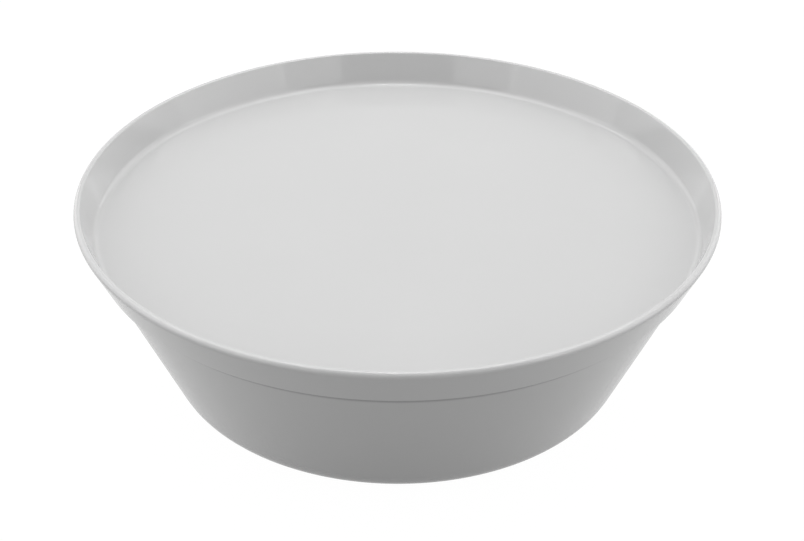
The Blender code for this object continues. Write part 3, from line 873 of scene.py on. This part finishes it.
def make_floor():
    """A pale floor, overexposed to white as on a light table, that keeps only a trace of the contact shadow.

    It mirrors in the glossy plastic more brightly than it lights it.
    """
    shape = bmesh.new()
    bmesh.ops.create_circle(shape, cap_ends=True, segments=64, radius=FLOOR_RADIUS)
    floor = new_piece(shape, "studio_floor")
    material = bpy.data.materials.new("studio_floor")
    material.use_nodes = True
    tree = material.node_tree
    shader = tree.nodes["Principled BSDF"]
    shader.inputs["Base Color"].default_value = (FLOOR_TONE, FLOOR_TONE, FLOOR_TONE, 1)
    shader.inputs["Roughness"].default_value = 1
    shader.inputs["Specular IOR Level"].default_value = 0
    shader.inputs["Emission Color"].default_value = (1, 1, 1, 1)
    path = tree.nodes.new("ShaderNodeLightPath")
    glow = tree.nodes.new("ShaderNodeMapRange")
    glow.inputs["To Min"].default_value = FLOOR_GLOW
    glow.inputs["To Max"].default_value = FLOOR_SHINE
    tree.links.new(path.outputs["Is Glossy Ray"], glow.inputs["Value"])
    tree.links.new(glow.outputs[0], shader.inputs["Emission Strength"])
    white = tree.nodes.new("ShaderNodeEmission")
    white.inputs["Strength"].default_value = FLOOR_WHITE
    seen = seen_directly(tree, shader.outputs[0], white.outputs[0], FLOOR_WHITE_SHARE)
    tree.links.new(seen, tree.nodes["Material Output"].inputs["Surface"])
    floor.data.materials.append(material)


def make_world():
    world = bpy.data.worlds.new("studio")
    world.use_nodes = True
    tree = world.node_tree
    dim = tree.nodes["Background"]
    dim.inputs["Color"].default_value = (1, 1, 1, 1)
    dim.inputs["Strength"].default_value = SURROUNDINGS_BRIGHTNESS
    white = tree.nodes.new("ShaderNodeBackground")
    white.inputs["Color"].default_value = (1, 1, 1, 1)
    seen = seen_directly(tree, dim.outputs[0], white.outputs[0], 1.0)
    tree.links.new(seen, tree.nodes["World Output"].inputs["Surface"])
    bpy.context.scene.world = world


def make_softbox(name, azimuth, elevation, width, height, distance, brightness):
    data = bpy.data.lights.new(name, "AREA")
    data.shape = "RECTANGLE"
    data.size = width
    data.size_y = height
    data.energy = pi * width * height * brightness
    light = bpy.data.objects.new(name, data)
    bpy.context.scene.collection.objects.link(light)
    around_angle = radians(azimuth)
    up_angle = radians(elevation)
    level = Vector((sin(around_angle), -cos(around_angle), 0)) * cos(up_angle)
    direction = level + Vector((0, 0, sin(up_angle)))
    light.location = Vector((0, 0, CAMERA_AIM_HEIGHT)) + direction * distance
    light.rotation_mode = "QUATERNION"
    light.rotation_quaternion = (-direction).to_track_quat("-Z", "Y")
    light.visible_camera = False


def make_studio():
    make_floor()
    make_world()
    for name, (azimuth, *rest) in SOFTBOXES.items():
        make_softbox(name + "_right", azimuth, *rest)
        if azimuth % 180:
            make_softbox(name + "_left", -azimuth, *rest)
    bpy.context.scene.view_settings.view_transform = "Standard"


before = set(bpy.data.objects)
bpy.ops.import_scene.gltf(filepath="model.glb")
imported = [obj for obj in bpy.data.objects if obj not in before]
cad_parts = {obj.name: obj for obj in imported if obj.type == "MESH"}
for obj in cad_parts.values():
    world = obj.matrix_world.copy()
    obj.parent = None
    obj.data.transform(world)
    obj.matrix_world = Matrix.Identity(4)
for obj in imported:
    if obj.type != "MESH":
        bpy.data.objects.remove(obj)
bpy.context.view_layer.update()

make_camera()
make_studio()

tray_plastic = moulded_plastic("tray_plastic", (0.455, 0.455, 0.455), 0.08, 0.08)
# Painted shade on the bowl from just below the tray's edge, where the overhang shadows it
shaded_to = BOWL_TOP_Z - 2 * SEAM_GAP
bowl_grey = (0.45, 0.45, 0.45)
bowl_plastic = moulded_plastic("bowl_plastic", bowl_grey, 0.13, 0.06, shaded_to - SEAM_SHADE_FADE, shaded_to)
deck_plastic = textured_plastic("deck_plastic", (0.4, 0.4, 0.4), 0.5, 0.6 * MM, 0.03 * MM)
cage_plastic = textured_plastic("cage_plastic", (0.66, 0.63, 0.56), 0.42, 1.0 * MM, 0.01 * MM)
zinc = zinc_steel("zinc_steel", (0.62, 0.63, 0.65), 0.35)
polished = ground_steel("ball_steel", (0.75, 0.75, 0.77), 0.1)
black_rubber = rubber("foot_rubber", (0.045, 0.045, 0.047), 0.75)

finish_piece(make_bowl(), "base_bowl", "base", bowl_plastic)
finish_piece(make_deck(), "support_deck", "base", deck_plastic)
finish_piece(make_bush(), "pivot_bush", "base", cage_plastic)
finish_piece(make_race(1, LOWER_SCREW_CIRCLE, 0.0), "lower_race", "base", zinc)
finish_piece(make_tray(), "tray", "turntable", tray_plastic)
finish_piece(make_race(-1, UPPER_SCREW_CIRCLE, pi / RACE_SCREWS), "upper_race", "turntable", zinc)
finish_piece(make_pivot_washer(), "pivot_washer", "turntable", zinc)
finish_piece(make_cage(), "ball_cage", "cage", cage_plastic)

lower_names = [f"lower_race_screw_{index + 1}" for index in range(RACE_SCREWS)]
lower_places = around(RACE_SCREWS, LOWER_SCREW_CIRCLE, LOWER_FLANGE_Z + GAP)
finish_copies(make_screw(LOWER_SCREW), lower_names, lower_places, ["base"] * RACE_SCREWS, False, zinc)

deck_names = [f"deck_screw_{index + 1}" for index in range(LEGS)]
deck_places = around(LEGS, LEG_CIRCLE, FOOT_POCKET_Z + DECK_SCREW[3] + GAP)
finish_copies(make_screw(DECK_SCREW), deck_names, deck_places, ["base"] * LEGS, True, zinc)

foot_names = [f"foot_{index + 1}" for index in range(LEGS)]
finish_copies(make_foot(), foot_names, around(LEGS, LEG_CIRCLE, 0), ["base"] * LEGS, True, black_rubber)

upper_names = [f"upper_race_screw_{index + 1}" for index in range(RACE_SCREWS)]
upper_places = around(RACE_SCREWS, UPPER_SCREW_CIRCLE, UPPER_FLANGE_Z - GAP, pi / RACE_SCREWS)
finish_copies(make_screw(RACE_SCREW), upper_names, upper_places, ["turntable"] * RACE_SCREWS, True, zinc)

pivot_head_z = PIVOT_END_Z - WASHER_THICKNESS - 2 * GAP
pivot_places = around(1, 0, pivot_head_z)
finish_copies(make_screw(PIVOT_SCREW), ["pivot_screw"], pivot_places, ["turntable"], True, zinc)

ball_names = [f"ball_{index + 1:02d}" for index in range(BALLS)]
finish_copies(make_ball(), ball_names, around(BALLS, BALL_CIRCLE, BALL_Z), ball_names, True, polished)
